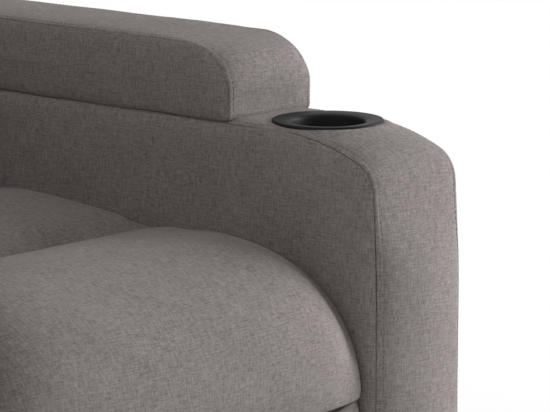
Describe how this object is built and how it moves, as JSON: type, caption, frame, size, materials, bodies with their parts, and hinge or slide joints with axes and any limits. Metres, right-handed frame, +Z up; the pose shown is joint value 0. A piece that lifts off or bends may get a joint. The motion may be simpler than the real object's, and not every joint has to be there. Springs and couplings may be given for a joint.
{
  "type": "massage recliner",
  "caption": "Fabric massage recliner with a reclining back, a lever-driven fold-out footrest, cup holders sunk in the arms and raised arm pads behind them.",
  "frame": {"origin": "on the floor, under the middle of the chair at rest", "axes": "+X to the sitter's left, +Y to the back of the chair, +Z up"},
  "size_m": [0.821, 0.8883, 1.04],
  "materials": {
    "cover_fabric": "taupe-grey linen weave",
    "webbing": "black elastic webbing",
    "plywood": "unfinished plywood",
    "black_steel": "satin black powder coat",
    "zinc_steel": "zinc plated",
    "black_plastic": "fine-textured black",
    "button_plastic": "matt grey"
  },
  "bodies": {
    "base": {"arm_inner_panel_left": "cover_fabric", "arm_inner_panel_right": "cover_fabric", "arm_outer_panel_left": "cover_fabric", "arm_outer_panel_right": "cover_fabric", "arm_band_left": "cover_fabric", "arm_band_right": "cover_fabric", "arm_pad_left": "cover_fabric", "arm_pad_right": "cover_fabric", "seat_cushion": "cover_fabric", "rear_skirt": "cover_fabric", "side_pocket": "cover_fabric", "seat_straps": "webbing", "arm_frame_left": "plywood", "arm_frame_right": "plywood", "seat_side_rails": "plywood", "seat_front_rail": "plywood", "seat_rear_rail": "plywood", "front_cross_rail": "black_steel", "rear_cross_rail": "black_steel", "side_plate_left": "black_steel", "side_plate_right": "black_steel", "cup_holder_left": "black_plastic", "cup_holder_right": "black_plastic", "feet": "black_plastic", "lever_bezel": "black_plastic", "control_box": "black_plastic", "power_inlet": "black_plastic", "seat_motors": "black_plastic"},
    "drive": {"drive_tube": "black_steel", "release_lever": "black_plastic", "drive_link_left": "black_steel", "drive_link_right": "black_steel", "drive_link_pins": "zinc_steel"},
    "swing": {"swing_link_left": "black_steel", "swing_link_right": "black_steel", "swing_link_pins": "zinc_steel"},
    "outer": {"outer_link_left": "black_steel", "outer_link_right": "black_steel", "outer_link_pins": "zinc_steel"},
    "carrier": {"carrier_link_left": "black_steel", "carrier_link_right": "black_steel", "carrier_link_pins": "zinc_steel"},
    "footrest": {"footrest_bracket_left": "black_steel", "footrest_bracket_right": "black_steel", "footrest_board": "plywood", "footrest_pad": "cover_fabric"},
    "backrest": {"back_frame": "plywood", "back_board": "plywood", "back_cover": "cover_fabric", "lumbar_cushion": "cover_fabric", "back_cushion": "cover_fabric", "headrest_cushion": "cover_fabric", "back_motors": "black_plastic", "back_hinges": "black_steel"},
    "controller": {"hand_controller": "black_plastic"},
    "power_button_body": {"power_button": "button_plastic"},
    "zone_button_body": {"zone_button": "button_plastic"},
    "speed_button_body": {"speed_button": "button_plastic"},
    "heat_button_body": {"heat_button": "button_plastic"}
  },
  "joints": [
    {"name": "footrest_drive", "type": "hinge", "parent": "base", "child": "drive", "pos_m": [0, -0.23187, 0.301], "axis": [-1, 0, 0], "range_deg": [0, 57]},
    {"name": "swing_link_pivot", "type": "hinge", "parent": "drive", "child": "swing", "pos_m": [0, -0.2677, 0.20764], "axis": [-1, 0, 0], "range_deg": [-114.5, 0.5]},
    {"name": "outer_link_pivot", "type": "hinge", "parent": "swing", "child": "outer", "pos_m": [0, -0.28335, 0.30641], "axis": [-1, 0, 0], "range_deg": [-0.5, 114.5]},
    {"name": "carrier_link_pivot", "type": "hinge", "parent": "drive", "child": "carrier", "pos_m": [0, -0.30354, 0.11428], "axis": [-1, 0, 0], "range_deg": [-114.5, 0.5]},
    {"name": "footrest_pivot", "type": "hinge", "parent": "carrier", "child": "footrest", "pos_m": [0, -0.33483, 0.31182], "axis": [-1, 0, 0], "range_deg": [-0.5, 147.5]},
    {"name": "back_recline", "type": "hinge", "parent": "base", "child": "backrest", "pos_m": [0, 0.19613, 0.33], "axis": [-1, 0, 0], "range_deg": [0, 40]},
    {"name": "controller_lift", "type": "slide", "parent": "base", "child": "controller", "axis": [0, 0, 1], "range_m": [0, 0.11]},
    {"name": "power_button_press", "type": "slide", "parent": "controller", "child": "power_button_body", "axis": [-1, 0, 0], "range_m": [0, 0.0012], "stiffness_N_per_m": 400},
    {"name": "zone_button_press", "type": "slide", "parent": "controller", "child": "zone_button_body", "axis": [-1, 0, 0], "range_m": [0, 0.0012], "stiffness_N_per_m": 400},
    {"name": "speed_button_press", "type": "slide", "parent": "controller", "child": "speed_button_body", "axis": [-1, 0, 0], "range_m": [0, 0.0012], "stiffness_N_per_m": 400},
    {"name": "heat_button_press", "type": "slide", "parent": "controller", "child": "heat_button_body", "axis": [-1, 0, 0], "range_m": [0, 0.0012], "stiffness_N_per_m": 400}
  ],
  "couplings": [
    {"joint": "swing_link_pivot", "follows": "footrest_drive", "ratio": -2},
    {"joint": "outer_link_pivot", "follows": "footrest_drive", "ratio": 2},
    {"joint": "carrier_link_pivot", "follows": "footrest_drive", "ratio": -2},
    {"joint": "footrest_pivot", "follows": "footrest_drive", "ratio": 2.5789}
  ]
}
